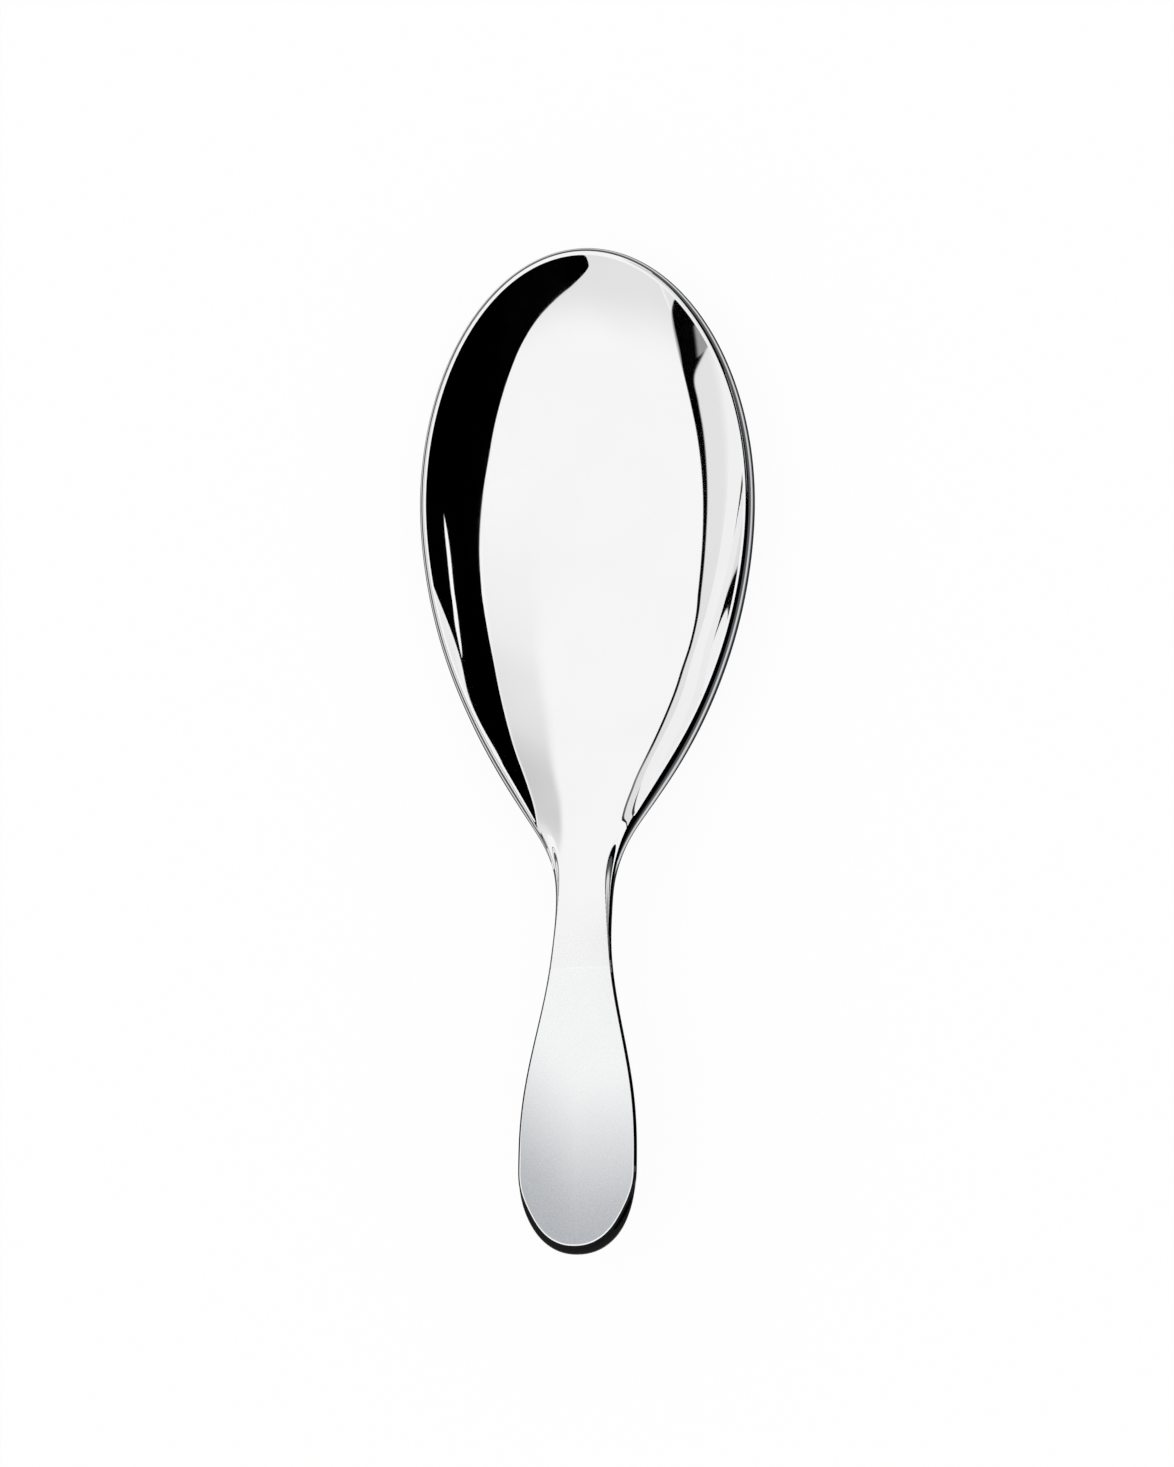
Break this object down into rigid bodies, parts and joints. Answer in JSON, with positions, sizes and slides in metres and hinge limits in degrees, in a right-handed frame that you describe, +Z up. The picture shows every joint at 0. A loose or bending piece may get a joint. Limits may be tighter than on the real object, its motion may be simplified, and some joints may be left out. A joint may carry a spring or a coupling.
{
  "type": "serving spoon",
  "caption": "Large stainless steel serving spoon with a deep oval mirror-polished bowl and a short flared satin handle.",
  "frame": {"origin": "centre of the bounding box, at the level of the resting flat under the bowl", "axes": "+Z up, the way the bowl opens; +Y from the handle towards the tip of the bowl; +X across the spoon"},
  "size_m": [0.0838, 0.2488, 0.0334],
  "materials": {
    "bowl_polish": "mirror-polished stainless steel",
    "handle_satin": "fine satin stainless steel",
    "handle_polish": "mirror-polished stainless steel",
    "weld_metal": "ground and polished weld metal",
    "braze_metal": "cast silver brazing alloy"
  },
  "bodies": {
    "root": {"bowl": "bowl_polish", "handle_face": "handle_satin", "handle_back": "handle_polish", "seam_weld": "weld_metal", "tang_braze": "braze_metal"}
  },
  "joints": []
}
